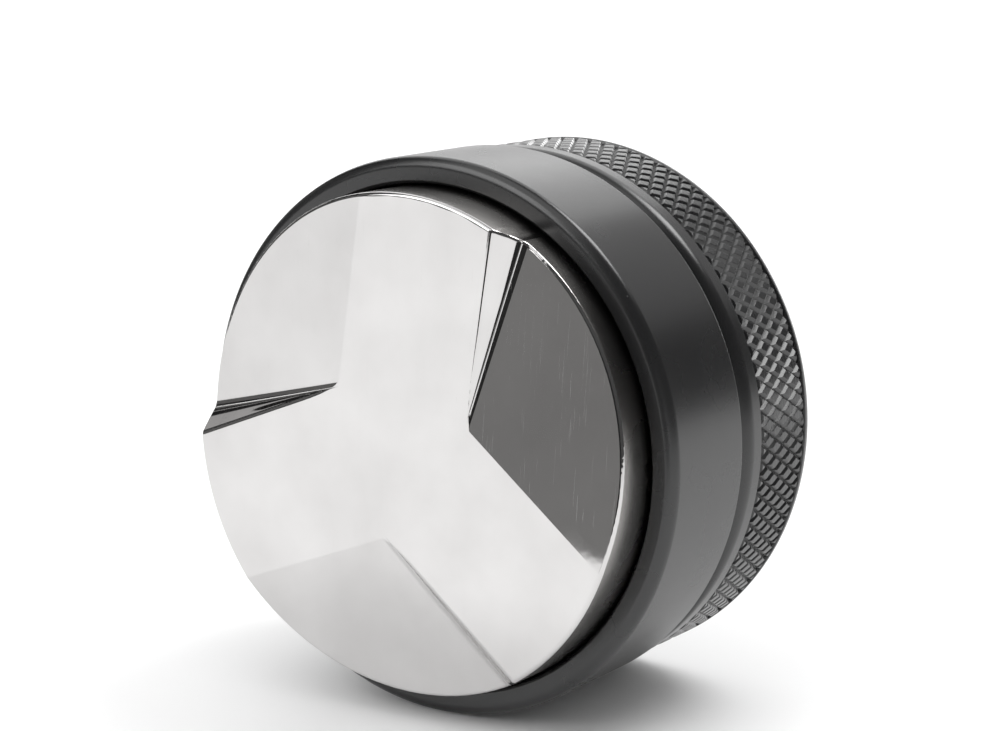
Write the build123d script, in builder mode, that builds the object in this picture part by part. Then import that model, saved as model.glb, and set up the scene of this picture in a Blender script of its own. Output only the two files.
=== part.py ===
"""Coffee levelling tamper with an adjustable depth sleeve, built from its turned parts.

The tool lies on its side: its axis is Y, the polished disc faces -Y, the knurled cap is
at +Y, and +Z is up. The origin is the middle of the disc's face, where its raised arms
meet. Sizes are in millimetres.
"""
import os
from math import atan, degrees, hypot
from build123d import *

# Driving dimensions: the outside
disc_diameter = 58.0
disc_protrusion = 6.4
disc_wall_length = 8.8
sleeve_length = 14.85
lip_bore_gap = 0.3
lip_width = 3.05
lip_fillet = 1.3
edge_break = 0.35
grip_step = 0.4
grip_length = 16.15
grip_fillet = 2.05
grip_shoulder = 3.6
knurl_groove_width = 0.6
knurl_groove_depth = 0.45
palm_recess = 0.25

# Driving dimensions: the three-armed face of the disc
arm_count = 3
arm_width = 17.9
first_arm_angle = 81.4
facet_drop = 2.8
riser_slope = 45.0
riser_root_radius = 1.6
riser_crest_radius = 1.0
disc_edge_fillet = 0.45

# Driving dimensions: the thread and the turns of what moves on it
thread_pitch = 1.5
thread_step = 2.3
thread_fit = 0.05
turns_forward = 1.5
turns_back = 1.5
turns_to_unlock = 0.5
stop_gap = 0.25

# Driving dimensions: the core
flange_thickness = 2.8
flange_gap = 0.5
spigot_radius = 20.0
spigot_height = 2.0
register_fit = 0.05
web_thickness = 5.8
pocket_radius = 16.0

# Driving dimensions: the rubber rings
rubber_section = 1.5
rubber_rub_gap = 0.03
rubber_seat_gap = 0.02
groove_side_gap = 0.1

# Driving dimensions: the keyed washer and the slots that its keys run in
washer_thickness = 1.35
washer_recess = 2.15
washer_bore_gap = 0.1
key_width = 4.0
key_depth = 2.0
key_gap = 0.12
key_count = 2

# Driving dimensions: the stop ring and the chamber round it
stop_ring_width = 1.0
stop_ring_height = 1.55
stop_groove_depth = 0.8
stop_ring_opening = 9.0
stop_ring_seat_gap = 0.02
core_end_land = 0.4
chamber_gap = 0.55

# Driving dimensions: the palm plate and its boss
palm_ledge = 0.7
palm_thickness = 3.1
palm_fit = 0.02
boss_gap = 0.4
boss_length = 8.6
boss_wall = 3.6
boss_nose = 0.5

# Driving dimensions: the screws that hold the disc
screw_count = 4
screw_wall_gap = 2.5
screw_radius = 2.0
screw_length = 12.0
screw_head_radius = 3.5
screw_head_height = 4.0
screw_head_chamfer = 0.4
hex_across_flats = 3.0
hex_depth = 2.0
screw_hole_gap = 0.25
tapped_hole_gap = 0.02
tapped_hole_spare = 0.8
spring_washer_thickness = 0.9
spring_washer_opening = 0.8

# Worked-out sizes
disc_radius = disc_diameter / 2
arm_half_width = arm_width / 2
facet_angle = degrees(atan(facet_drop / (disc_radius - arm_half_width)))
travel_forward = turns_forward * thread_pitch
travel_back = turns_back * thread_pitch
unlock_lift = turns_to_unlock * thread_pitch
groove_width = rubber_section + 2 * groove_side_gap

# Places along the axis, from the disc's face to the palm
face_y = 0.0
lip_y = face_y + disc_protrusion
sleeve_back_y = lip_y + sleeve_length
disc_back_y = face_y + disc_wall_length
spigot_front_y = disc_back_y - spigot_height
flange_back_y = disc_back_y + flange_thickness
flange_middle_y = disc_back_y + flange_thickness / 2
pocket_floor_y = disc_back_y + web_thickness
screw_seat_y = pocket_floor_y + spring_washer_thickness
sleeve_land_y = flange_back_y + travel_forward + stop_gap
key_front_y = sleeve_back_y - travel_forward - stop_gap
grip_front_y = sleeve_back_y + washer_thickness
knurl_groove_y = grip_front_y + grip_shoulder
grip_back_y = grip_front_y + grip_length
palm_back_y = grip_back_y - palm_recess
palm_front_y = palm_back_y - palm_thickness
boss_front_y = palm_front_y - boss_length
boss_groove_y = boss_front_y + boss_nose + groove_width / 2
core_back_y = palm_front_y - travel_forward - stop_gap
stop_ring_back_y = core_back_y - core_end_land
stop_ring_front_y = stop_ring_back_y - stop_ring_width
grip_land_back_y = stop_ring_front_y - travel_back - unlock_lift - stop_gap

# Radii that follow the disc, and those inside the core
bore_radius = disc_radius + lip_bore_gap
flange_radius = bore_radius - flange_gap
sleeve_radius = bore_radius + lip_width
grip_radius = sleeve_radius - grip_step
washer_radius = sleeve_radius - washer_recess
thread_radius = bore_radius - thread_step
nut_radius = thread_radius + thread_fit
key_floor_radius = thread_radius - key_depth
stop_groove_radius = thread_radius - stop_groove_depth
stop_ring_radius = stop_groove_radius + stop_ring_height
chamber_radius = stop_ring_radius + chamber_gap
palm_radius = chamber_radius + palm_ledge
boss_radius = pocket_radius - boss_gap
screw_circle_radius = pocket_radius - screw_wall_gap - screw_head_radius


def across(y):
    """Give the plane square to the axis at one place, facing the front."""
    return Plane.XZ.offset(-y)


def half_section(*points):
    """Draw a closed half-section on Plane.XY from its (radius, y) points."""
    with BuildLine() as outline:
        Polyline(*points, close=True)
    make_face(outline.edges())


def block_section(inner_radius, outer_radius, front_y, back_y):
    """Draw a rectangular half-section between two radii and two places on the axis."""
    half_section((inner_radius, front_y), (outer_radius, front_y),
                 (outer_radius, back_y), (inner_radius, back_y))


def circles_at(part, y):
    """Choose a part's full circles at one place on the axis, the smallest first."""
    circles = part.edges().filter_by(GeomType.CIRCLE)
    return circles.filter_by_position(Axis.Y, y - 0.01, y + 0.01).sort_by(SortBy.RADIUS)


def on_front_rim(edge):
    """Say whether an edge runs round the front rim of the disc."""
    points = edge.positions([0, 0.25, 0.5, 0.75, 1])
    at_rim = all(abs(hypot(point.X, point.Z) - disc_radius) < 0.001 for point in points)
    return at_rim and all(point.Y < face_y + facet_drop + edge_break for point in points)


def finish(piece, name):
    """Name a finished piece and write its STEP file."""
    piece.part.label = name
    export_step(piece.part, f"parts/{name}.step")


os.makedirs("parts", exist_ok=True)

# Each facet hinges on one side of an arm and runs down to the riser of the next arm
face_plane = across(face_y)
facet_cutters = []
for arm in range(arm_count):
    riser_direction = first_arm_angle - 90 + arm * 360 / arm_count
    crease_direction = riser_direction + 180 / arm_count
    facet_plane = Plane(face_plane.location * Rot(0, 0, crease_direction)
                        * Pos(arm_half_width, 0, 0) * Rot(0, facet_angle, 0))
    riser_plane = Plane(face_plane.location * Rot(0, 0, riser_direction)
                        * Pos(arm_half_width, 0, 0) * Rot(0, riser_slope, 0))
    riser_foot = riser_plane.from_local_coords((facet_drop, disc_radius / 2, 0))
    with BuildPart() as facet_cutter:
        with BuildSketch(facet_plane):
            Rectangle(2 * disc_diameter, 4 * disc_diameter)
        extrude(amount=disc_diameter)
        split(bisect_by=riser_plane, keep=Keep.TOP)
        root_edge = facet_cutter.edges().sort_by_distance(riser_foot)[0]
        fillet(root_edge, radius=riser_root_radius)
    facet_cutters.append(facet_cutter.part)

# Polished stainless disc, with a recess and tapped holes behind
screw_reach = screw_length - spring_washer_thickness - web_thickness - spigot_height
with BuildPart() as distribution_disc:
    with BuildSketch(Plane.XY):
        block_section(0, disc_radius, face_y, disc_back_y)
    revolve(axis=Axis.Y)
    for facet_cutter in facet_cutters:
        add(facet_cutter, mode=Mode.SUBTRACT)
    with BuildSketch(across(disc_back_y)):
        Circle(spigot_radius + register_fit)
    extrude(amount=spigot_height + register_fit, mode=Mode.SUBTRACT)
    with BuildSketch(across(spigot_front_y)):
        with PolarLocations(screw_circle_radius, screw_count):
            Circle(screw_radius + tapped_hole_gap)
    extrude(amount=screw_reach + tapped_hole_spare, mode=Mode.SUBTRACT)
    straight_edges = distribution_disc.edges().filter_by(GeomType.LINE)
    face_edges = straight_edges.filter_by_position(Axis.Y, face_y - 0.01, face_y + 0.01)
    fillet(face_edges.sort_by(SortBy.LENGTH)[:arm_count], radius=riser_crest_radius)
    fillet(distribution_disc.edges().filter_by(on_front_rim), radius=disc_edge_fillet)
    chamfer(circles_at(distribution_disc, disc_back_y)[-1], length=edge_break)
finish(distribution_disc, "distribution_disc")

# Core: a flange behind the disc, a long outside thread and a pocket open at the back
with BuildPart() as threaded_core:
    with BuildSketch(Plane.XY):
        half_section((0, spigot_front_y), (spigot_radius, spigot_front_y),
                     (spigot_radius, disc_back_y), (flange_radius, disc_back_y),
                     (flange_radius, flange_back_y), (thread_radius, flange_back_y),
                     (thread_radius, core_back_y), (pocket_radius, core_back_y),
                     (pocket_radius, pocket_floor_y), (0, pocket_floor_y))
    revolve(axis=Axis.Y)
    chamfer(circles_at(threaded_core, core_back_y)[0], length=edge_break)
    with BuildSketch(Plane.XY):
        block_section(bore_radius - rubber_rub_gap - rubber_section - rubber_seat_gap,
                      bore_radius, flange_middle_y - groove_width / 2,
                      flange_middle_y + groove_width / 2)
        block_section(stop_groove_radius, bore_radius, stop_ring_front_y, stop_ring_back_y)
    revolve(axis=Axis.Y, mode=Mode.SUBTRACT)
    with BuildSketch(across(pocket_floor_y)):
        with PolarLocations(screw_circle_radius, screw_count):
            Circle(screw_radius + screw_hole_gap)
    extrude(amount=web_thickness + spigot_height, mode=Mode.SUBTRACT)
    with BuildSketch(across(core_back_y)):
        with PolarLocations(key_floor_radius + key_depth, key_count, start_angle=90):
            Rectangle(2 * key_depth, key_width)
    extrude(amount=core_back_y - key_front_y, mode=Mode.SUBTRACT)
finish(threaded_core, "threaded_core")

# Socket head screws, driven from the pocket into the back of the disc
with BuildPart() as disc_screws:
    with BuildSketch(across(screw_seat_y)):
        with PolarLocations(screw_circle_radius, screw_count):
            Circle(screw_radius)
    extrude(amount=screw_length)
    with BuildSketch(across(screw_seat_y + screw_head_height)):
        with PolarLocations(screw_circle_radius, screw_count):
            Circle(screw_head_radius)
    extrude(amount=screw_head_height)
    chamfer(circles_at(disc_screws, screw_seat_y + screw_head_height),
            length=screw_head_chamfer)
    with BuildSketch(across(screw_seat_y + screw_head_height)):
        with PolarLocations(screw_circle_radius, screw_count):
            RegularPolygon(hex_across_flats / 2, side_count=6, major_radius=False)
    extrude(amount=hex_depth, mode=Mode.SUBTRACT)
finish(disc_screws, "disc_screws")

# Split spring washers under the screw heads
with BuildPart() as spring_washers:
    with BuildSketch(across(screw_seat_y)):
        with PolarLocations(screw_circle_radius, screw_count):
            Circle(screw_head_radius)
            Circle(screw_radius + tapped_hole_gap, mode=Mode.SUBTRACT)
        with PolarLocations(screw_circle_radius + screw_head_radius, screw_count):
            Rectangle(2 * screw_head_radius, spring_washer_opening, mode=Mode.SUBTRACT)
    extrude(amount=spring_washer_thickness)
finish(spring_washers, "spring_washers")

# Rubber ring round the flange: it drags on the sleeve and keeps grounds out of the thread
with BuildPart() as sleeve_friction_ring:
    with BuildSketch(Plane.XY):
        with Locations((bore_radius - rubber_rub_gap - rubber_section / 2, flange_middle_y)):
            Circle(rubber_section / 2)
    revolve(axis=Axis.Y)
finish(sleeve_friction_ring, "sleeve_friction_ring")

# Depth sleeve: the lip rests on the basket, and the back half is threaded inside
with BuildPart() as depth_sleeve:
    with BuildSketch(Plane.XY):
        half_section((bore_radius, lip_y), (sleeve_radius, lip_y),
                     (sleeve_radius, sleeve_back_y), (nut_radius, sleeve_back_y),
                     (nut_radius, sleeve_land_y), (bore_radius, sleeve_land_y))
    revolve(axis=Axis.Y)
    fillet(circles_at(depth_sleeve, lip_y)[-1], radius=lip_fillet)
    chamfer(circles_at(depth_sleeve, lip_y)[0], length=edge_break)
    chamfer(circles_at(depth_sleeve, sleeve_back_y), length=edge_break)
finish(depth_sleeve, "depth_sleeve")

# Keyed washer: its keys stop the cap from turning the sleeve as it is tightened
with BuildPart() as keyed_washer:
    with BuildSketch(across(grip_front_y)):
        Circle(washer_radius)
        Circle(thread_radius + washer_bore_gap, mode=Mode.SUBTRACT)
        with PolarLocations(key_floor_radius + key_gap + key_depth, key_count, start_angle=90):
            Rectangle(2 * key_depth, key_width - 2 * key_gap)
    extrude(amount=washer_thickness)
finish(keyed_washer, "keyed_washer")

# Open ring in the end of the core, which stops the cap from being unscrewed
with BuildPart() as stop_ring:
    with BuildSketch(across(stop_ring_back_y)):
        Circle(stop_ring_radius)
        Circle(stop_groove_radius + stop_ring_seat_gap, mode=Mode.SUBTRACT)
        with Locations((stop_ring_radius, 0)):
            Rectangle(4 * stop_ring_height, stop_ring_opening, mode=Mode.SUBTRACT)
    extrude(amount=stop_ring_width)
finish(stop_ring, "stop_ring")

# Grip ring: the outside of the cap, threaded inside, with room behind for the stop ring
with BuildPart() as grip_ring:
    with BuildSketch(Plane.XY):
        half_section((nut_radius, grip_front_y), (grip_radius, grip_front_y),
                     (grip_radius, knurl_groove_y),
                     (grip_radius - knurl_groove_depth, knurl_groove_y + knurl_groove_width / 2),
                     (grip_radius, knurl_groove_y + knurl_groove_width),
                     (grip_radius, grip_back_y), (palm_radius + palm_fit, grip_back_y),
                     (palm_radius + palm_fit, palm_front_y), (chamber_radius, palm_front_y),
                     (chamber_radius, grip_land_back_y), (nut_radius, grip_land_back_y))
    revolve(axis=Axis.Y)
    fillet(circles_at(grip_ring, grip_front_y)[-1], radius=grip_fillet)
    fillet(circles_at(grip_ring, grip_back_y)[-1], radius=grip_fillet)
    chamfer(circles_at(grip_ring, grip_front_y)[0], length=edge_break)
finish(grip_ring, "grip_ring")

# Palm plate: closes the grip ring, with a boss that the core's pocket guides
with BuildPart() as palm_plate:
    with BuildSketch(Plane.XY):
        block_section(0, palm_radius, palm_front_y, palm_back_y)
        block_section(boss_radius - boss_wall, boss_radius, boss_front_y, palm_front_y)
    revolve(axis=Axis.Y)
    with BuildSketch(Plane.XY):
        block_section(pocket_radius - rubber_rub_gap - rubber_section - rubber_seat_gap,
                      pocket_radius, boss_groove_y - groove_width / 2,
                      boss_groove_y + groove_width / 2)
    revolve(axis=Axis.Y, mode=Mode.SUBTRACT)
    chamfer(circles_at(palm_plate, palm_back_y)[-1], length=edge_break)
finish(palm_plate, "palm_plate")

# Rubber ring on the boss: it drags in the core's pocket so that the cap doesn't rattle
with BuildPart() as cap_friction_ring:
    with BuildSketch(Plane.XY):
        with Locations((pocket_radius - rubber_rub_gap - rubber_section / 2, boss_groove_y)):
            Circle(rubber_section / 2)
    revolve(axis=Axis.Y)
finish(cap_friction_ring, "cap_friction_ring")
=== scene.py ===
# %% [markdown]
# # A coffee levelling tamper
#
# The tool is a polished steel disc in a black sleeve, with a knurled black cap behind.
# It lies on its side on a white table. The CAD model gives every piece its size and place,
# so each step below reads a box from it and models the surface that a buyer would see.

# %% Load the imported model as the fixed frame
from math import cos, pi, radians, sin, tau
import bmesh
import bpy
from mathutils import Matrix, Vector


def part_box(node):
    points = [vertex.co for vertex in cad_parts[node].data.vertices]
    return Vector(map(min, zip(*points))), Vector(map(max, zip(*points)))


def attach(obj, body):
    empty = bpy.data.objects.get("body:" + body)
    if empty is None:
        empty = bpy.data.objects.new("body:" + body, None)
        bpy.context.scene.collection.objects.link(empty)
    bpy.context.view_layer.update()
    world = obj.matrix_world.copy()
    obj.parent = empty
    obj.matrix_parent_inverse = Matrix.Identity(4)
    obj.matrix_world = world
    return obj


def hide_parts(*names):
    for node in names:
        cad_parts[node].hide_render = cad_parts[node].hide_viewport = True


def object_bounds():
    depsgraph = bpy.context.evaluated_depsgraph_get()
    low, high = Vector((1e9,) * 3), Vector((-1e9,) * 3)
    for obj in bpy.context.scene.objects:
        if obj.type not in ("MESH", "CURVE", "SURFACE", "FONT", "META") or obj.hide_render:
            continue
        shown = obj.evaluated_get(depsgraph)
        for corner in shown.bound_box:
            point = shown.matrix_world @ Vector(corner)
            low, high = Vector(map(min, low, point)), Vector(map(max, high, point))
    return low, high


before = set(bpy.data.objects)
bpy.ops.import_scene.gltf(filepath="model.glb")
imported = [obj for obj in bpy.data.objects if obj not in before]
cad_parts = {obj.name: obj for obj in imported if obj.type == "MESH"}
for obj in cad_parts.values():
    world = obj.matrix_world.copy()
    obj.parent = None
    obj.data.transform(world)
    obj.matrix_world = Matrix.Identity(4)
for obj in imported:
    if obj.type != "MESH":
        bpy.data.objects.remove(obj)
cad_low, cad_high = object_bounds()
MM = 0.001
print("CAD box in millimetres:", [round(side / MM, 2) for side in cad_high - cad_low])

# %% [markdown]
# ## The camera
#
# The camera stands to the right of the disc and a little above it, with a long lens, so
# that the round edges stay nearly true ellipses. It is placed by its azimuth, elevation and
# distance from the middle of the sleeve's lip. It is then turned a touch to the side of
# that point, which leaves the tool a little left of the frame's middle.

# %% Place the camera
lip_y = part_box("depth_sleeve")[0][1]
camera_azimuth = radians(36.40)
camera_elevation = radians(12.85)
camera_distance = 0.2846
camera_tilt = radians(78.86)
camera_heading = radians(34.87)
camera_data = bpy.data.cameras.new("camera")
camera_data.lens = 90.9
camera_data.clip_start = 0.01
camera = bpy.data.objects.new("camera", camera_data)
bpy.context.collection.objects.link(camera)
camera.location = (camera_distance * cos(camera_elevation) * sin(camera_azimuth),
                   lip_y - camera_distance * cos(camera_elevation) * cos(camera_azimuth),
                   camera_distance * sin(camera_elevation))
camera.rotation_euler = (camera_tilt, 0, camera_heading)
bpy.context.scene.camera = camera
bpy.context.scene.view_settings.view_transform = "Standard"
print("camera at", [round(place, 4) for place in camera.location])

# %% [markdown]
# ## Selecting in code
#
# Blender's operators act on whatever is selected, and nobody clicks in a script. These
# helpers clear the selection, open one piece in edit mode and select the points, edges or
# faces that pass a test on their place.

# %% Selection helpers
def clear_selection():
    """Leave edit mode and deselect everything."""
    if bpy.context.object and bpy.context.object.mode != "OBJECT":
        bpy.ops.object.mode_set(mode="OBJECT")
    bpy.ops.object.select_all(action="DESELECT")


def open_piece(piece, mode="EDIT"):
    """Make one piece the only selected one and go to a mode."""
    clear_selection()
    bpy.context.view_layer.objects.active = piece
    piece.select_set(True)
    bpy.ops.object.mode_set(mode=mode)


def pick(piece, kind, test):
    """Select the vertices, edges or faces of the open piece that pass a test."""
    bpy.ops.mesh.select_all(action="DESELECT")
    bpy.ops.mesh.select_mode(type=kind)
    mesh = bmesh.from_edit_mesh(piece.data)
    parts = {"VERT": mesh.verts, "EDGE": mesh.edges, "FACE": mesh.faces}[kind]
    chosen = [part for part in parts if test(part)]
    for part in chosen:
        part.select_set(True)
    bmesh.update_edit_mesh(piece.data)
    return len(chosen)


def apply_modifiers(piece):
    """Apply all of a piece's modifiers in order."""
    open_piece(piece, "OBJECT")
    for modifier in piece.modifiers[:]:
        bpy.ops.object.modifier_apply(modifier=modifier.name)


# %% [markdown]
# ## Smooth shading that keeps flat faces flat
#
# A machined piece has true flats that end in small roundings. Plain smooth shading would
# bend the light on the flats too. The Weighted Normal modifier gives the large faces the
# last word, so only the roundings turn the light.

# %% Finish a shell
WELD = 0.002 * MM


def finish_shell(piece, sharp_above):
    """Merge doubles, turn faces outwards and shade smooth up to an angle in degrees."""
    open_piece(piece)
    bpy.ops.mesh.select_all(action="SELECT")
    bpy.ops.mesh.remove_doubles(threshold=WELD)
    bpy.ops.mesh.normals_make_consistent(inside=False)
    bpy.ops.object.mode_set(mode="OBJECT")
    bpy.ops.object.shade_smooth_by_angle(angle=radians(sharp_above))
    weighted = piece.modifiers.new("weighted", "WEIGHTED_NORMAL")
    weighted.keep_sharp = True
    weighted.weight = 100
    apply_modifiers(piece)
    print(piece.name, "has", len(piece.data.polygons), "faces")


# %% [markdown]
# ## Turning a piece on a lathe
#
# The sleeve, the cap and its palm plate are turned parts. Each could be a stack of
# cylinders, but a lathe cuts one outline, so one outline is drawn here too: a plane is
# merged to a single point, the point is extruded along the outline, its corners are
# rounded by a vertex bevel, and the outline is spun round the Y axis.

# %% Draw and spin an outline
SAME_POINT = 0.001 * MM


def near(place, corner):
    """Say whether a point of an outline stands at a (radius, y) corner."""
    return abs(place.x - corner[0]) < SAME_POINT and abs(place.y - corner[1]) < SAME_POINT


def turned_piece(name, outline, roundings, steps=224):
    """Spin an outline of (radius, y) corners, after {(rounding, segments): corners}."""
    clear_selection()
    bpy.ops.mesh.primitive_plane_add(size=MM, enter_editmode=True)
    piece = bpy.context.object
    piece.name = name
    bpy.ops.mesh.select_mode(type="VERT")
    bpy.ops.mesh.merge(type="CENTER")
    bpy.ops.transform.translate(value=(*outline[0], 0))
    for start, end in zip(outline, outline[1:] + outline[:1]):
        step = (end[0] - start[0], end[1] - start[1], 0)
        bpy.ops.mesh.extrude_vertices_move(TRANSFORM_OT_translate={"value": step})
    bpy.ops.mesh.select_all(action="SELECT")
    bpy.ops.mesh.remove_doubles(threshold=SAME_POINT)
    bpy.ops.mesh.edge_face_add()
    for (radius, segments), corners in roundings.items():
        found = pick(piece, "VERT", lambda v: any(near(v.co, c) for c in corners))
        assert found == len(corners), (name, radius, found)
        bpy.ops.mesh.bevel(offset=radius, segments=segments, affect="VERTICES")
    bpy.ops.mesh.select_all(action="SELECT")
    bpy.ops.mesh.delete(type="ONLY_FACE")
    bpy.ops.mesh.select_all(action="SELECT")
    bpy.ops.mesh.spin(steps=steps, angle=tau, center=(0, 0, 0), axis=(0, 1, 0))
    return piece


# %% [markdown]
# ## The depth sleeve
#
# The sleeve is a plain black tube that screws in and out of the core to set the depth. Its
# lip has a generous rounding outside and a small broken edge inside. Its back edge has a
# small rounding, which catches a thin line of light.

# %% Turn the depth sleeve
sleeve_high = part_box("depth_sleeve")[1]
sleeve_radius = sleeve_high[0]
sleeve_back_y = sleeve_high[1]
disc_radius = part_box("distribution_disc")[1][0]
bore_radius = disc_radius + 0.3 * MM
nut_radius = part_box("threaded_core")[1][0] - 1.75 * MM
land_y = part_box("threaded_core")[0][1] + 7.3 * MM
edge_break = 0.35 * MM
lip_rounding = 1.3 * MM
soft_corner = 0.06 * MM

sleeve_outline = [(bore_radius, lip_y + edge_break), (bore_radius + edge_break, lip_y),
                  (sleeve_radius, lip_y), (sleeve_radius, sleeve_back_y),
                  (nut_radius + edge_break, sleeve_back_y),
                  (nut_radius, sleeve_back_y - edge_break), (nut_radius, land_y),
                  (bore_radius, land_y)]
sleeve = turned_piece("depth_sleeve_turned", sleeve_outline, {
    (lip_rounding, 12): [sleeve_outline[2]],
    (edge_break, 6): [sleeve_outline[3]],
    (soft_corner, 3): [sleeve_outline[corner] for corner in (0, 1, 4, 5)]})
finish_shell(sleeve, 30)
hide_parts("depth_sleeve")
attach(sleeve, "sleeve")

# %% [markdown]
# ## The grip ring
#
# The cap's ring has a smooth shoulder, a narrow groove, the knurled band and a rounded back
# edge. The knurl is too fine to cut out of the spun body, so the body gets a shallow seat
# under the band, and the knurl becomes a ring of its own that sits in it.

# %% Turn the grip ring's body
grip_low, grip_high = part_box("grip_ring")
palm_low, palm_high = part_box("palm_plate")
grip_radius = grip_high[0]
grip_front_y = grip_low[1]
grip_back_y = grip_high[1]
palm_back_y = palm_high[1]
palm_front_y = palm_back_y - 3.1 * MM
palm_radius = palm_high[0]
groove_depth = 0.45 * MM
groove_slope = 0.3 * MM
knurl_front_y = grip_front_y + 4.2 * MM
knurl_back_y = grip_back_y - 2.55 * MM
groove_front_y = knurl_front_y - groove_slope
groove_back_y = knurl_back_y + groove_slope
seat_radius = grip_radius - 0.5 * MM
chamber_radius = palm_radius - 0.7 * MM
grip_land_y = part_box("stop_ring")[0][1] - 3.25 * MM
front_rounding = 2.05 * MM
back_rounding = 0.98 * front_rounding
fine_corner = 0.05 * MM

grip_outline = [(nut_radius, grip_front_y + edge_break), (nut_radius + edge_break, grip_front_y),
                (grip_radius, grip_front_y), (grip_radius, groove_front_y - groove_slope),
                (grip_radius - groove_depth, groove_front_y), (seat_radius, groove_front_y),
                (seat_radius, groove_back_y), (grip_radius - groove_depth, groove_back_y),
                (grip_radius, groove_back_y + groove_slope / 2), (grip_radius, grip_back_y),
                (palm_radius, grip_back_y), (palm_radius, palm_front_y),
                (chamber_radius, palm_front_y), (chamber_radius, grip_land_y),
                (nut_radius, grip_land_y)]
grip = turned_piece("grip_ring_turned", grip_outline, {
    (front_rounding, 14): [grip_outline[2]],
    (back_rounding, 14): [grip_outline[9]],
    (fine_corner, 3): [grip_outline[corner] for corner in (0, 1, 3, 8, 10)]})

# %% [markdown]
# ## One diamond of the knurl
#
# A knurling tool presses two sets of slanting grooves into the band and leaves flat-topped
# diamonds between them. A bump map would look right only from far off, because the walls of
# the grooves catch the light one by one. So one diamond is modelled: a circle of four
# points is stretched to the tool's pitch, inset upwards to make the groove walls, and the
# rim of its flat top is bevelled.

# %% Shape one column of diamonds, lying flat
diamonds_round = 104
knurl_depth = 0.38 * MM
groove_half_width = 0.34 * MM
bottom_radius = grip_radius - knurl_depth
pitch_round = tau * bottom_radius / diamonds_round
pitch_along = 3.41 * MM
knurl_middle_y = (knurl_front_y + knurl_back_y) / 2
first_row_y = knurl_middle_y - 1.5 * pitch_along
rows_added = 6

clear_selection()
bpy.ops.mesh.primitive_circle_add(vertices=4, radius=1, fill_type="NGON", enter_editmode=True)
bpy.ops.mesh.select_mode(type="VERT")
knurl = bpy.context.object
knurl.name = "knurl"
bpy.ops.transform.resize(value=(pitch_round / 2, pitch_along / 2, 1))
bpy.ops.mesh.inset(thickness=groove_half_width, depth=knurl_depth)
bpy.ops.mesh.bevel(offset=fine_corner, segments=2, affect="EDGES")
bpy.ops.mesh.select_all(action="SELECT")
bpy.ops.transform.translate(value=(pitch_round / 2, first_row_y, 0))
for row in range(rows_added):
    sideways = pitch_round / 2 if row % 2 else -pitch_round / 2
    bpy.ops.mesh.duplicate_move(TRANSFORM_OT_translate={"value": (sideways, pitch_along / 2, 0)})
bpy.ops.mesh.select_all(action="SELECT")
bpy.ops.mesh.remove_doubles(threshold=WELD)
print("one column has", len(bmesh.from_edit_mesh(knurl.data).faces), "faces")

# %% [markdown]
# ## Cutting the ends of the band
#
# The groove in front of the knurl and the one behind it were cut after the knurling, so
# their slanting walls run through the diamonds and end in small scallops. A bisect along
# each wall does the same. The cut edges are then drawn in to a straight line under the
# surface, and the front line is extruded back to meet the other one, which closes the ring.

# %% Cut both ends and close the underside
line_height = knurl_depth - groove_depth - 0.1 * MM
on_wall = 1e-9
on_line = 1e-7
for pad_edge_y, groove_y, outward in ((knurl_front_y, groove_front_y, -1),
                                      (knurl_back_y, groove_back_y, 1)):
    bpy.ops.mesh.select_all(action="SELECT")
    wall_normal = Vector((0, outward * groove_depth, groove_slope)).normalized()
    bpy.ops.mesh.bisect(plane_co=(0, pad_edge_y, knurl_depth), plane_no=wall_normal,
                        clear_outer=True, threshold=SAME_POINT)
    pick(knurl, "EDGE", lambda e: e.is_boundary and all(
        abs((v.co.y - pad_edge_y) * outward * groove_depth
            + (v.co.z - knurl_depth) * groove_slope) < on_wall for v in e.verts))
    bpy.ops.mesh.extrude_edges_move()
    bpy.ops.transform.resize(value=(1, 0, 0), center_override=(0, groove_y, line_height))
pick(knurl, "EDGE", lambda e: all(abs(v.co.z - line_height) < on_line
                                  and abs(v.co.y - groove_front_y) < on_line for v in e.verts))
bpy.ops.mesh.extrude_edges_move(
    TRANSFORM_OT_translate={"value": (0, groove_back_y - groove_front_y, 0)})
bpy.ops.mesh.select_all(action="SELECT")
bpy.ops.mesh.remove_doubles(threshold=WELD)
band_ys = [vertex.co.y / MM for vertex in bmesh.from_edit_mesh(knurl.data).verts]
print("the band runs from", round(min(band_ys), 2), "to", round(max(band_ys), 2), "mm")

# %% [markdown]
# ## Rolling the band into a ring
#
# An Array modifier repeats the column all the way along the band. The flat band is stood on
# its edge, and a Simple Deform modifier bends it through a full turn about the Y axis, as a
# strip of sheet metal is rolled. The half diamond that sticks out at the far end is bent a
# little further than a full turn, so it lands exactly in the gap at the start.

# %% Repeat, bend and close the knurl
clear_selection()
array = knurl.modifiers.new("columns", "ARRAY")
array.count = diamonds_round
array.use_relative_offset = False
array.use_constant_offset = True
array.constant_offset_displace = (pitch_round, 0, 0)
array.use_merge_vertices = True
array.merge_threshold = WELD
apply_modifiers(knurl)
knurl.rotation_euler = (0, -pi / 2, 0)
bpy.ops.object.transform_apply(rotation=True)
strip = [vertex.co.z for vertex in knurl.data.vertices]
bend = knurl.modifiers.new("roll", "SIMPLE_DEFORM")
bend.deform_method = "BEND"
bend.deform_axis = "Y"
bend.angle = (max(strip) - min(strip)) / bottom_radius
apply_modifiers(knurl)
open_piece(knurl)
bpy.ops.mesh.select_all(action="SELECT")
bpy.ops.transform.translate(value=(-bottom_radius, 0, 0))
bpy.ops.object.mode_set(mode="OBJECT")
knurl_radii = [(vertex.co.x ** 2 + vertex.co.z ** 2) ** 0.5 / MM for vertex in knurl.data.vertices]
print("knurl", round(min(knurl_radii), 3), "to", round(max(knurl_radii), 3), "mm from the axis")

# %% [markdown]
# The ring and its body are one piece of metal, so they are joined into one object.

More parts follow.
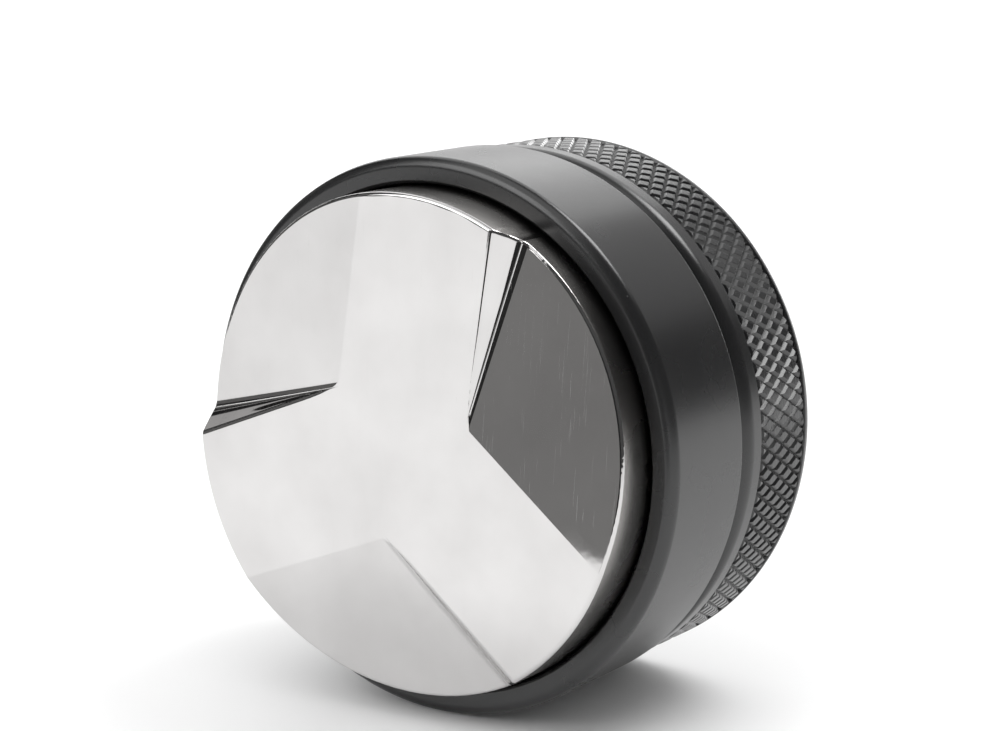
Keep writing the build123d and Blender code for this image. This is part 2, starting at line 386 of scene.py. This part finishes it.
# %% Join the knurl to the grip ring
clear_selection()
finish_shell(knurl, 25)
finish_shell(grip, 30)
knurl.select_set(True)
bpy.ops.object.join()
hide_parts("grip_ring")
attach(grip, "cap")

# %% [markdown]
# ## The palm plate
#
# A flat plate closes the back of the grip ring. It sits a hair below the ring's back face,
# and its boss inside runs in the core's pocket, out of sight.

# %% Turn the palm plate
palm_front_boss_y = palm_low[1]
boss_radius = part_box("cap_friction_ring")[1][0] - 0.37 * MM
boss_bore_radius = boss_radius - 3.6 * MM
ring_groove_radius = boss_radius - 1.15 * MM
ring_groove_front_y = palm_front_boss_y + 0.5 * MM
ring_groove_back_y = ring_groove_front_y + 1.7 * MM
palm_outline = [(0, palm_front_y), (boss_bore_radius, palm_front_y),
                (boss_bore_radius, palm_front_boss_y), (boss_radius, palm_front_boss_y),
                (boss_radius, ring_groove_front_y), (ring_groove_radius, ring_groove_front_y),
                (ring_groove_radius, ring_groove_back_y), (boss_radius, ring_groove_back_y),
                (boss_radius, palm_front_y), (palm_radius, palm_front_y),
                (palm_radius, palm_back_y - edge_break),
                (palm_radius - edge_break, palm_back_y), (0, palm_back_y)]
palm = turned_piece("palm_plate_turned", palm_outline, {
    (soft_corner, 3): [palm_outline[10], palm_outline[11]]}, steps=192)
finish_shell(palm, 30)
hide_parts("palm_plate")
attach(palm, "cap")

# %% [markdown]
# ## The levelling disc
#
# The disc's face was milled: three raised arms meet in the middle, and beside each arm a
# facet slopes down to the steep riser of the next arm. The CAD solid has all of this, so its
# mesh is copied. Its triangles come loose, and merging them lets the light flow over the
# small roundings while the flats stay flat.

# %% Copy and merge the disc's mesh
clear_selection()
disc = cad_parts["distribution_disc"].copy()
disc.data = disc.data.copy()
disc.name = "levelling_disc"
bpy.context.collection.objects.link(disc)
disc.parent = None
if disc.data.has_custom_normals:
    open_piece(disc, "OBJECT")
    bpy.ops.mesh.customdata_custom_splitnormals_clear()
open_piece(disc)
bpy.ops.mesh.select_all(action="SELECT")
bpy.ops.mesh.remove_doubles(threshold=WELD)
bpy.ops.mesh.dissolve_limited(angle_limit=radians(0.3))
finish_shell(disc, 30)
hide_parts("distribution_disc")
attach(disc, "core")

# %% [markdown]
# ## Building materials with nodes
#
# Every finish here starts from a Principled BSDF. A few small helpers make the node work
# short. The first adds any node, sets its properties, and fills or links its sockets.

# %% Node helpers
def add_node(tree, kind, inputs=None, **settings):
    """Add a node, set its properties, and fill or link its named inputs."""
    node = tree.nodes.new(kind)
    for name, value in settings.items():
        setattr(node, name, value)
    for name, value in (inputs or {}).items():
        socket = node.inputs[name]
        if isinstance(value, bpy.types.NodeSocket):
            tree.links.new(value, socket)
        else:
            socket.default_value = value
    return node


def start_material(name, values):
    """Make a material and set values on its Principled BSDF by socket name."""
    material = bpy.data.materials.new(name)
    material.use_nodes = True
    shader = material.node_tree.nodes["Principled BSDF"]
    for socket, value in values.items():
        shader.inputs[socket].default_value = value
    return material, material.node_tree, shader


def math_node(tree, operation, first, second=0.0, third=0.0, clamp=False):
    """Add a Math node and give its output."""
    node = add_node(tree, "ShaderNodeMath", {0: first, 1: second, 2: third},
                    operation=operation, use_clamp=clamp)
    return node.outputs[0]


def mix_colours(tree, share, first, second):
    """Add a colour Mix node and give its output. Each side is a colour or a socket."""
    # A Mix node has sockets for every kind of data: 6 and 7 take colours, and output 2 gives one.
    node = add_node(tree, "ShaderNodeMix", {"Factor": share, 6: first, 7: second},
                    data_type="RGBA")
    return node.outputs[2]


def link_bump(tree, shader, height):
    """Turn a height in metres into the shader's normal."""
    bump = add_node(tree, "ShaderNodeBump", {"Distance": 1.0, "Height": height})
    tree.links.new(bump.outputs["Normal"], shader.inputs["Normal"])


def start_group(name, inputs, outputs):
    """Make a shader group with {name: default} float inputs and {name: kind} outputs."""
    group = bpy.data.node_groups.new(name, "ShaderNodeTree")
    for socket, default in inputs.items():
        made = group.interface.new_socket(socket, in_out="INPUT", socket_type="NodeSocketFloat")
        made.default_value = default
    for socket, kind in outputs.items():
        group.interface.new_socket(socket, in_out="OUTPUT", socket_type="NodeSocket" + kind)
    return group, group.nodes.new("NodeGroupInput"), group.nodes.new("NodeGroupOutput")


# %% [markdown]
# ## Two shared effects
#
# Metal is never quite clean or even. "Fine grain" is the faint blasted texture that
# anodising keeps, and also a slow cloudiness from handling. "Dust specks" scatters a few
# tiny bright dots. Both are groups, so that each finish can take them at its own strength.

# %% Fine grain group
grain_group, grain_in, grain_out = start_group(
    "Fine grain", {"Size": 0.1, "Cloud size": 12.0},
    {"Height": "Float", "Cloud": "Float"})
grain_place = add_node(grain_group, "ShaderNodeTexCoord").outputs["Object"]
grain_scale = math_node(grain_group, "DIVIDE", 1 / MM, grain_in.outputs["Size"])
cloud_scale = math_node(grain_group, "DIVIDE", 1 / MM, grain_in.outputs["Cloud size"])
grain_noise = add_node(grain_group, "ShaderNodeTexNoise",
                       {"Vector": grain_place, "Scale": grain_scale, "Detail": 2.0})
cloud_noise = add_node(grain_group, "ShaderNodeTexNoise",
                       {"Vector": grain_place, "Scale": cloud_scale, "Detail": 4.0})
grain_group.links.new(grain_noise.outputs["Fac"], grain_out.inputs["Height"])
grain_group.links.new(cloud_noise.outputs["Fac"], grain_out.inputs["Cloud"])

# %% [markdown]
# The specks come from a Voronoi texture. It fills space with cells that each have a middle,
# so a small distance to that middle is a dot, and the cell's own random colour decides
# whether its dot is kept.

# %% Dust specks group
dust_group, dust_in, dust_out = start_group(
    "Dust specks", {"Spacing": 2.0, "Radius": 0.05, "Share": 0.2}, {"Mask": "Float"})
dust_place = add_node(dust_group, "ShaderNodeTexCoord").outputs["Object"]
dust_scale = math_node(dust_group, "DIVIDE", 1 / MM, dust_in.outputs["Spacing"])
dust_cells = add_node(dust_group, "ShaderNodeTexVoronoi",
                      {"Vector": dust_place, "Scale": dust_scale})
speck_radius = math_node(dust_group, "DIVIDE", dust_in.outputs["Radius"],
                         dust_in.outputs["Spacing"])
inside_speck = math_node(dust_group, "LESS_THAN", dust_cells.outputs["Distance"], speck_radius)
speck_pick = add_node(dust_group, "ShaderNodeSeparateColor",
                      {"Color": dust_cells.outputs["Color"]}).outputs[0]
chosen_cell = math_node(dust_group, "LESS_THAN", speck_pick, dust_in.outputs["Share"])
dust_group.links.new(math_node(dust_group, "MULTIPLY", inside_speck, chosen_cell),
                     dust_out.inputs["Mask"])


def add_group(tree, group, **values):
    """Place a shared group in a material with its own values."""
    node = add_node(tree, "ShaderNodeGroup", node_tree=group)
    for socket, value in values.items():
        node.inputs[socket.replace("_", " ")].default_value = value
    return node


# %% [markdown]
# Every round piece came off a lathe, whose tool leaves very fine lines: rings on a flat
# face and threads of light on a cylinder. "Lathe lines" gives both heights, and a mask that
# keeps them inside a stretch of the axis and outside a radius.

# %% Lathe lines group
lathe_group, lathe_in, lathe_out = start_group(
    "Lathe lines", {"Front": -1.0, "Back": 1.0, "Inner": 0.0, "Pitch": 0.4 * MM},
    {"Ridges": "Float", "Rings": "Float", "Mask": "Float"})
lathe_place = add_node(lathe_group, "ShaderNodeTexCoord").outputs["Object"]
lathe_parts = add_node(lathe_group, "ShaderNodeSeparateXYZ", {"Vector": lathe_place})
flat_place = add_node(lathe_group, "ShaderNodeCombineXYZ",
                      {"X": lathe_parts.outputs["X"], "Z": lathe_parts.outputs["Z"]})
lathe_radius = add_node(lathe_group, "ShaderNodeVectorMath", {0: flat_place.outputs[0]},
                        operation="LENGTH").outputs["Value"]
behind_front = math_node(lathe_group, "GREATER_THAN", lathe_parts.outputs["Y"],
                         lathe_in.outputs["Front"])
before_back = math_node(lathe_group, "LESS_THAN", lathe_parts.outputs["Y"],
                        lathe_in.outputs["Back"])
outside_inner = math_node(lathe_group, "GREATER_THAN", lathe_radius, lathe_in.outputs["Inner"])
lathe_mask = math_node(lathe_group, "MULTIPLY", outside_inner,
                       math_node(lathe_group, "MULTIPLY", behind_front, before_back))
line_rate = math_node(lathe_group, "DIVIDE", tau, lathe_in.outputs["Pitch"])
for output, coordinate in (("Ridges", lathe_parts.outputs["Y"]), ("Rings", lathe_radius)):
    line_phase = math_node(lathe_group, "MULTIPLY", coordinate, line_rate)
    line_wave = math_node(lathe_group, "SINE", line_phase)
    lathe_group.links.new(math_node(lathe_group, "MULTIPLY", line_wave, lathe_mask),
                          lathe_out.inputs[output])
lathe_group.links.new(lathe_mask, lathe_out.inputs["Mask"])

# %% [markdown]
# ## Black anodised aluminium
#
# Anodising grows a thin hard oxide that is dyed black. Light meets a clear glassy skin over
# a black ground, so this finish isn't a metal in the shader: it is a black base with an
# ordinary Fresnel reflection, a little blurred by the grain. The knurl's flat tops keep the
# lathe's lines and the palm plate keeps its rings, each held by the mask to its own place.

# %% Make the anodised finish
DYED_BLACK = (0.010, 0.010, 0.0105, 1)
DUST_GREY = (0.16, 0.16, 0.16, 1)


def anodised_material(name, line_kind="", line_height=0.0, **line_limits):
    """Make the black anodised finish, with one kind of lathe line where its limits say."""
    material, tree, shader = start_material(name, {"IOR": 1.65})
    grain = add_group(tree, grain_group, Size=0.11, Cloud_size=9.0)
    dust = add_group(tree, dust_group, Spacing=3.2, Radius=0.055, Share=0.25)
    clouded = math_node(tree, "MULTIPLY_ADD", grain.outputs["Cloud"], 0.10, 0.215)
    roughness = math_node(tree, "MULTIPLY_ADD", dust.outputs["Mask"], 0.4, clouded)
    tree.links.new(roughness, shader.inputs["Roughness"])
    colour = mix_colours(tree, dust.outputs["Mask"], DYED_BLACK, DUST_GREY)
    tree.links.new(colour, shader.inputs["Base Color"])
    height = math_node(tree, "MULTIPLY", grain.outputs["Height"], 0.003 * MM)
    if line_kind:
        lines = add_group(tree, lathe_group, **line_limits)
        height = math_node(tree, "MULTIPLY_ADD", lines.outputs[line_kind], line_height, height)
    link_bump(tree, shader, height)
    return material


def dress(piece, *materials):
    """Replace a new piece's materials."""
    piece.data.materials.clear()
    for material in materials:
        piece.data.materials.append(material)


anodised = anodised_material("black_anodised_smooth")
anodised_knurl = anodised_material(
    "black_anodised_knurled", "Ridges", 0.003 * MM, Front=knurl_front_y, Back=knurl_back_y,
    Inner=grip_radius - 0.04 * MM, Pitch=0.62 * MM)
anodised_palm = anodised_material("black_anodised_faced", "Rings", 0.0015 * MM,
                                  Front=palm_back_y - 0.04 * MM, Pitch=0.35 * MM)
dress(sleeve, anodised)
dress(grip, anodised_knurl)
dress(palm, anodised_palm)

# %% [markdown]
# ## The hollow risers
#
# The steep sides of the three arms were cut by a round-nosed cutter, so each is a little
# hollow and flattens towards its foot. A mirror shows this at once, as long bands of light
# and dark. The solid has flat risers, so the hollow is given as a height for the bump. It
# reads how far a point lies beyond the arm's side, as a share of the riser's width there,
# which grows from nothing at the corner between two arms. The height share * share *
# (1 - share) has no slope at the crest, where a step in slope would show as a hard line.

# %% Hollow riser group
arm_half_width = 8.9 * MM
arm_angles = [radians(81.4 + turn) for turn in (0, 120, 240)]
facet_slope = 2.8 * MM / (disc_radius - arm_half_width)
corner_along = arm_half_width / (3 ** 0.5)
riser_group, riser_in, riser_out = start_group(
    "Hollow riser", {"Arm cosine": 1.0, "Arm sine": 0.0, "Hollow": 0.75}, {"Height": "Float"})
riser_place = add_node(riser_group, "ShaderNodeTexCoord").outputs["Object"]
riser_parts = add_node(riser_group, "ShaderNodeSeparateXYZ", {"Vector": riser_place})
across_x = math_node(riser_group, "MULTIPLY", riser_parts.outputs["X"],
                     riser_in.outputs["Arm sine"])
across_z = math_node(riser_group, "MULTIPLY", riser_parts.outputs["Z"],
                     riser_in.outputs["Arm cosine"])
across = math_node(riser_group, "SUBTRACT", across_x, across_z)
beyond_side = math_node(riser_group, "SUBTRACT", across, arm_half_width)
along_x = math_node(riser_group, "MULTIPLY", riser_parts.outputs["X"],
                    riser_in.outputs["Arm cosine"])
along = math_node(riser_group, "MULTIPLY_ADD", riser_parts.outputs["Z"],
                  riser_in.outputs["Arm sine"], along_x)
past_corner = math_node(riser_group, "SUBTRACT", along, corner_along)
grown_width = math_node(riser_group, "MULTIPLY", past_corner, facet_slope * sin(pi / 3))
riser_width = math_node(riser_group, "MAXIMUM", grown_width, 0.001 * MM)
share = math_node(riser_group, "DIVIDE", beyond_side, riser_width, clamp=True)
hollow_shape = math_node(riser_group, "MULTIPLY", math_node(riser_group, "POWER", share, 2.0),
                         math_node(riser_group, "SUBTRACT", 1.0, share))
hollow_depth = math_node(riser_group, "MULTIPLY", riser_width, riser_in.outputs["Hollow"])
hollow_height = math_node(riser_group, "MULTIPLY", hollow_shape, hollow_depth)
riser_group.links.new(math_node(riser_group, "MULTIPLY", hollow_height, -1.0),
                      riser_out.inputs["Height"])

# %% [markdown]
# ## Polished stainless steel
#
# The disc is buffed to a mirror, so it shows the table and the dark room and has almost no
# colour of its own. What tells the eye that it is steel are faint things: hairline
# scratches, a soft smear here and there, a few specks and a face that isn't perfectly
# flat. The round wall was only turned, so it is rougher, with the lathe's lines on it. Its
# colour is also darker as painted shade for the dark lip and gap that it mirrors.

# %% Start the polished finish
polished, polished_tree, polished_shader = start_material(
    "polished_steel_mirror", {"Metallic": 1.0})
smear = add_group(polished_tree, grain_group, Size=0.5, Cloud_size=11.0)
specks = add_group(polished_tree, dust_group, Spacing=4.4, Radius=0.07, Share=0.3)
wall = add_group(polished_tree, lathe_group, Front=0.5 * MM, Inner=disc_radius - 0.02 * MM,
                 Pitch=0.25 * MM)

# %% [markdown]
# A noise that is stretched long in one direction gives streaks, and keeping only its highest
# peaks gives hairlines. Two directions cross, as wiping leaves them. A hairline, a smear and
# the turned wall each add to the roughness, and the hairlines stay off the wall.

# %% Roughness of the polished finish
disc_place = add_node(polished_tree, "ShaderNodeTexCoord").outputs["Object"]
hairline_masks = []
for turn, seed in ((0.5, 0.0), (-0.7, 3.0)):
    stretched = add_node(polished_tree, "ShaderNodeMapping", {
        "Vector": disc_place, "Location": (seed, 0, seed), "Rotation": (0, turn, 0),
        "Scale": (14 / MM, 0.2 / MM, 0.12 / MM)})
    streaks = add_node(polished_tree, "ShaderNodeTexNoise",
                       {"Vector": stretched.outputs[0], "Scale": 1.0, "Detail": 1.0})
    hairline_masks.append(math_node(polished_tree, "GREATER_THAN", streaks.outputs["Fac"], 0.735))
hairlines = math_node(polished_tree, "MAXIMUM", *hairline_masks)
hairlines = math_node(polished_tree, "GREATER_THAN", hairlines, wall.outputs["Mask"])
smeared = add_node(polished_tree, "ShaderNodeMapRange", {
    "Value": smear.outputs["Cloud"], "From Min": 0.42, "From Max": 0.68,
    "To Min": 0.030, "To Max": 0.085}).outputs["Result"]
scratched = math_node(polished_tree, "MULTIPLY_ADD", hairlines, 0.16, smeared)
polished_roughness = math_node(polished_tree, "MULTIPLY_ADD", wall.outputs["Mask"], 0.21,
                               scratched)
polished_tree.links.new(polished_roughness, polished_shader.inputs["Roughness"])

# %% [markdown]
# A smear takes a little off the steel's brightness. Three Mix nodes in a row go from clean
# to smeared steel, then add the specks, then the wall's darker colour. That colour is partly
# painted shade for the dark lip and gap that the wall mirrors.

# %% Colour of the polished finish
smear_share = add_node(polished_tree, "ShaderNodeMapRange", {
    "Value": smear.outputs["Cloud"], "From Min": 0.35, "From Max": 0.75}).outputs["Result"]
clean_steel = (0.650, 0.641, 0.637, 1)
smeared_steel = (0.575, 0.566, 0.562, 1)
speck_steel = (0.30, 0.29, 0.28, 1)
# The wall's colour is darker than the face partly as painted shade. It stands in for the dark lip
# and gap mirrored in the wall.
turned_steel_with_painted_shade = (0.34, 0.33, 0.32, 1)
steel_colour = mix_colours(polished_tree, smear_share, clean_steel, smeared_steel)
steel_colour = mix_colours(polished_tree, specks.outputs["Mask"], steel_colour, speck_steel)
# Painted shade: the wall mask swaps in the darker wall colour.
steel_colour = mix_colours(polished_tree, wall.outputs["Mask"], steel_colour, turned_steel_with_painted_shade)
polished_tree.links.new(steel_colour, polished_shader.inputs["Base Color"])

# %% [markdown]
# The heights add up in metres before the one Bump node: the slow unevenness of a hand-buffed
# face, the lathe's lines on the wall, and the hollow of each riser.

# %% Unevenness of the polished finish
polished_height = math_node(polished_tree, "MULTIPLY", smear.outputs["Cloud"], 0.022 * MM)
polished_height = math_node(polished_tree, "MULTIPLY_ADD", wall.outputs["Ridges"],
                            0.001 * MM, polished_height)
for angle in arm_angles:
    hollow = add_group(polished_tree, riser_group, Arm_cosine=cos(angle), Arm_sine=sin(angle))
    polished_height = math_node(polished_tree, "ADD", hollow.outputs["Height"], polished_height)
link_bump(polished_tree, polished_shader, polished_height)
dress(disc, polished)

# %% [markdown]
# ## The finishes inside
#
# The core, screws, washers and rings are mostly out of sight, but they are part of the
# tool and show in an exploded view. The metals share one recipe: a cloudy colour between
# two tones, a roughness that follows the same clouds, and the lathe's or the die's lines.

# %% Make the inner metals
def worked_metal(name, light, dark, roughness, pitch):
    """Make a bare metal that is cloudy between two tones and has fine working lines."""
    material, tree, shader = start_material(name, {"Metallic": 1.0})
    grain = add_group(tree, grain_group, Size=0.2, Cloud_size=4.0)
    lines = add_group(tree, lathe_group, Pitch=pitch)
    tone = mix_colours(tree, grain.outputs["Cloud"], (*light, 1), (*dark, 1))
    tree.links.new(tone, shader.inputs["Base Color"])
    clouded = math_node(tree, "MULTIPLY_ADD", grain.outputs["Cloud"], 0.18, roughness)
    tree.links.new(clouded, shader.inputs["Roughness"])
    height = math_node(tree, "MULTIPLY", grain.outputs["Height"], 0.003 * MM)
    height = math_node(tree, "MULTIPLY_ADD", lines.outputs["Ridges"], 0.0015 * MM, height)
    height = math_node(tree, "MULTIPLY_ADD", lines.outputs["Rings"], 0.0015 * MM, height)
    link_bump(tree, shader, height)
    return material


# %% [markdown]
# The rubber and the nylon share another recipe: a moulded grain, and a pale bloom on the
# surface where the cloud is thickest.

# %% Make the rubber and the nylon
def moulded_black(name, base, bloom, roughness, grain_size):
    """Make a moulded black plastic or rubber with grain and a pale bloom."""
    material, tree, shader = start_material(name, {})
    grain = add_group(tree, grain_group, Size=grain_size, Cloud_size=3.0)
    bloom_share = add_node(tree, "ShaderNodeMapRange", {
        "Value": grain.outputs["Cloud"], "From Min": 0.45, "From Max": 0.8}).outputs["Result"]
    tone = mix_colours(tree, bloom_share, (base, base, base, 1), (bloom, bloom, bloom, 1))
    tree.links.new(tone, shader.inputs["Base Color"])
    clouded = math_node(tree, "MULTIPLY_ADD", grain.outputs["Cloud"], 0.2, roughness)
    tree.links.new(clouded, shader.inputs["Roughness"])
    height = math_node(tree, "MULTIPLY", grain.outputs["Height"], 0.012 * MM)
    link_bump(tree, shader, height)
    return material


# %% [markdown]
# Every CAD node gets its finish too. The four that have a modelled stand-in wear the same
# finish as it does, so nothing changes colour where a node is shown instead.

# %% Dress the CAD nodes
spring = worked_metal("oiled_spring_steel", (0.20, 0.19, 0.18), (0.09, 0.085, 0.08), 0.28,
                      0.12 * MM)
rubber = moulded_black("moulded_rubber", 0.010, 0.030, 0.52, 0.25)
node_finishes = {
    "threaded_core": worked_metal("turned_aluminium", (0.62, 0.62, 0.63), (0.48, 0.48, 0.49),
                                  0.22, 0.3 * MM),
    "disc_screws": worked_metal("zinc_plated_steel", (0.60, 0.61, 0.63), (0.42, 0.43, 0.42),
                                0.25, 0.1 * MM),
    "spring_washers": spring, "stop_ring": spring,
    "sleeve_friction_ring": rubber, "cap_friction_ring": rubber,
    "keyed_washer": moulded_black("moulded_nylon", 0.006, 0.014, 0.38, 0.4),
    "depth_sleeve": anodised, "grip_ring": anodised_knurl, "palm_plate": anodised_palm,
    "distribution_disc": polished}
for node_name, finish in node_finishes.items():
    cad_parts[node_name].material_slots[0].material = finish
print("dressed", len(node_finishes), "CAD nodes")

# %% [markdown]
# ## The table
#
# A mirror shows its surroundings, so most of a polished disc's look is in the studio. The
# disc faces a wide white table, which makes the disc white.

# %% Make the table
def flat_panel(name, width, height):
    """Add a flat panel that lies in the X-Y plane, round the origin, in edit mode."""
    clear_selection()
    bpy.ops.mesh.primitive_plane_add(size=1, enter_editmode=True)
    bpy.ops.transform.resize(value=(width, height, 1))
    panel = bpy.context.object
    panel.name = name
    return panel


table_side = 7
table_top = flat_panel("table_top", table_side, table_side)
bpy.ops.transform.translate(value=(-0.8, 0.6, cad_low[2]))
bpy.ops.object.mode_set(mode="OBJECT")
table_white = start_material("table_white", {"Base Color": (0.9, 0.9, 0.9, 1), "Roughness": 0.6})[0]
dress(table_top, table_white)

# %% [markdown]
# ## Cards for the mirror to see
#
# Each side of the disc's face is tilted its own way, so each mirrors its own part of the
# room, and a card that stands there gives it its tone. The grey flag is in front of the
# disc, where the right-hand facet looks, and the black card beside it is for the foot of
# the right-hand riser. The side cards are far to the left, and the left-hand riser mirrors
# them as bands: a light card and a bright strip, with a black card behind them and a dark
# grey one beside. Only reflections show the cards. They are hidden from the camera, throw
# no shadow, and shed no light on the table.

# %% Stand the cards
def stand_card(name, bearing, distance, width, height, lift, brightness):
    """Stand a card that only mirrors see, at a bearing from -Y towards -X in degrees."""
    card = flat_panel(name, width, height)
    turn = radians(bearing)
    middle_z = cad_low[2] + lift + height / 2
    bpy.ops.transform.rotate(value=pi / 2, orient_axis="X", center_override=(0, 0, 0))
    bpy.ops.transform.rotate(value=-turn, orient_axis="Z", center_override=(0, 0, 0))
    bpy.ops.transform.translate(value=(-distance * sin(turn), -distance * cos(turn), middle_z))
    bpy.ops.object.mode_set(mode="OBJECT")
    glow = (brightness, brightness * 0.99, brightness * 0.98, 1)
    finish = start_material(
        name + "_card", {"Base Color": (0, 0, 0, 1), "Roughness": 1.0,
                         "Emission Color": glow, "Emission Strength": 1.0})[0]
    dress(card, finish)
    card.visible_camera = False
    card.visible_diffuse = False
    card.visible_shadow = False


# Each card has its bearing, distance, width, height, lift above the table and brightness.
cards = {"flag": (18, 0.305, 0.165, 0.14, 0, 0.225),
         "black_card": (-21, 0.19, 0.161, 0.12, 0, 0.012),
         "side_black": (98, 0.64, 0.60, 0.7, 0, 0.010),
         "side_light": (103, 0.60, 0.15, 0.27, 0.05, 0.45),
         "side_strip": (79, 0.60, 0.018, 0.6, 0.05, 0.7),
         "side_card": (58, 0.60, 0.42, 0.6, 0.05, 0.12)}
for card_name, card_values in cards.items():
    stand_card(card_name, *card_values)

# %% [markdown]
# ## The light
#
# Wide soft lights hang behind, overhead and in front, and a small one over the back of the
# table. Their size and distance keep the table evenly lit. Two more, the backdrop and the
# horizon, don't light the table at all: they are there for the black rings to mirror.

# %% Light the studio
def softbox(name, width, height, radiance, place, lights_table=True):
    """Hang an area light that faces the tool, lighting the table or only seen in gloss."""
    data = bpy.data.lights.new(name, "AREA")
    data.shape = "RECTANGLE"
    data.size = width
    data.size_y = height
    data.energy = radiance * pi * width * height
    light = bpy.data.objects.new(name, data)
    bpy.context.collection.objects.link(light)
    light.location = place
    light.rotation_euler = light.location.to_track_quat("Z", "Y").to_euler()
    light.visible_diffuse = lights_table


softbox("backdrop_light", 2.2, 2.2, 1.0, (-1.88, 2.70, 0.75), lights_table=False)
softbox("horizon_light", 2.0, 0.8, 3.0, (-0.5, 3.4, 0.36), lights_table=False)
softbox("back_left_softbox", 3.0, 3.0, 1.1, (-1.32, 2.10, 2.22))
softbox("back_softbox", 2.6, 2.6, 0.45, (0.50, 2.44, 2.18))
softbox("overhead_softbox", 3.0, 3.0, 1.05, (-0.5, -1.2, 3.1))
softbox("front_softbox", 1.6, 1.6, 3.0, (-1.0, -2.0, 1.4))
softbox("table_light", 0.5, 0.5, 6.5, (0.35, 0.50, 1.00))

# %% [markdown]
# ## The room
#
# The room's own light depends on who looks. It is pale where it falls on the table, white
# where the camera sees it, and dark where metal mirrors it.

# %% Set the room's light
studio = bpy.data.worlds.new("studio")
bpy.context.scene.world = studio
studio.use_nodes = True
studio_tree = studio.node_tree
studio_tree.nodes.clear()
mirrored = add_node(studio_tree, "ShaderNodeBackground", {"Color": (0.085, 0.085, 0.085, 1)})
ambient = add_node(studio_tree, "ShaderNodeBackground", {"Color": (0.62, 0.62, 0.62, 1)})
backdrop = add_node(studio_tree, "ShaderNodeBackground", {"Color": (1, 1, 1, 1)})
light_path = add_node(studio_tree, "ShaderNodeLightPath")
unseen = add_node(studio_tree, "ShaderNodeMixShader", {
    0: light_path.outputs["Is Diffuse Ray"], 1: mirrored.outputs[0], 2: ambient.outputs[0]})
mixed = add_node(studio_tree, "ShaderNodeMixShader", {
    0: light_path.outputs["Is Camera Ray"], 1: unseen.outputs[0], 2: backdrop.outputs[0]})
add_node(studio_tree, "ShaderNodeOutputWorld", {"Surface": mixed.outputs[0]})
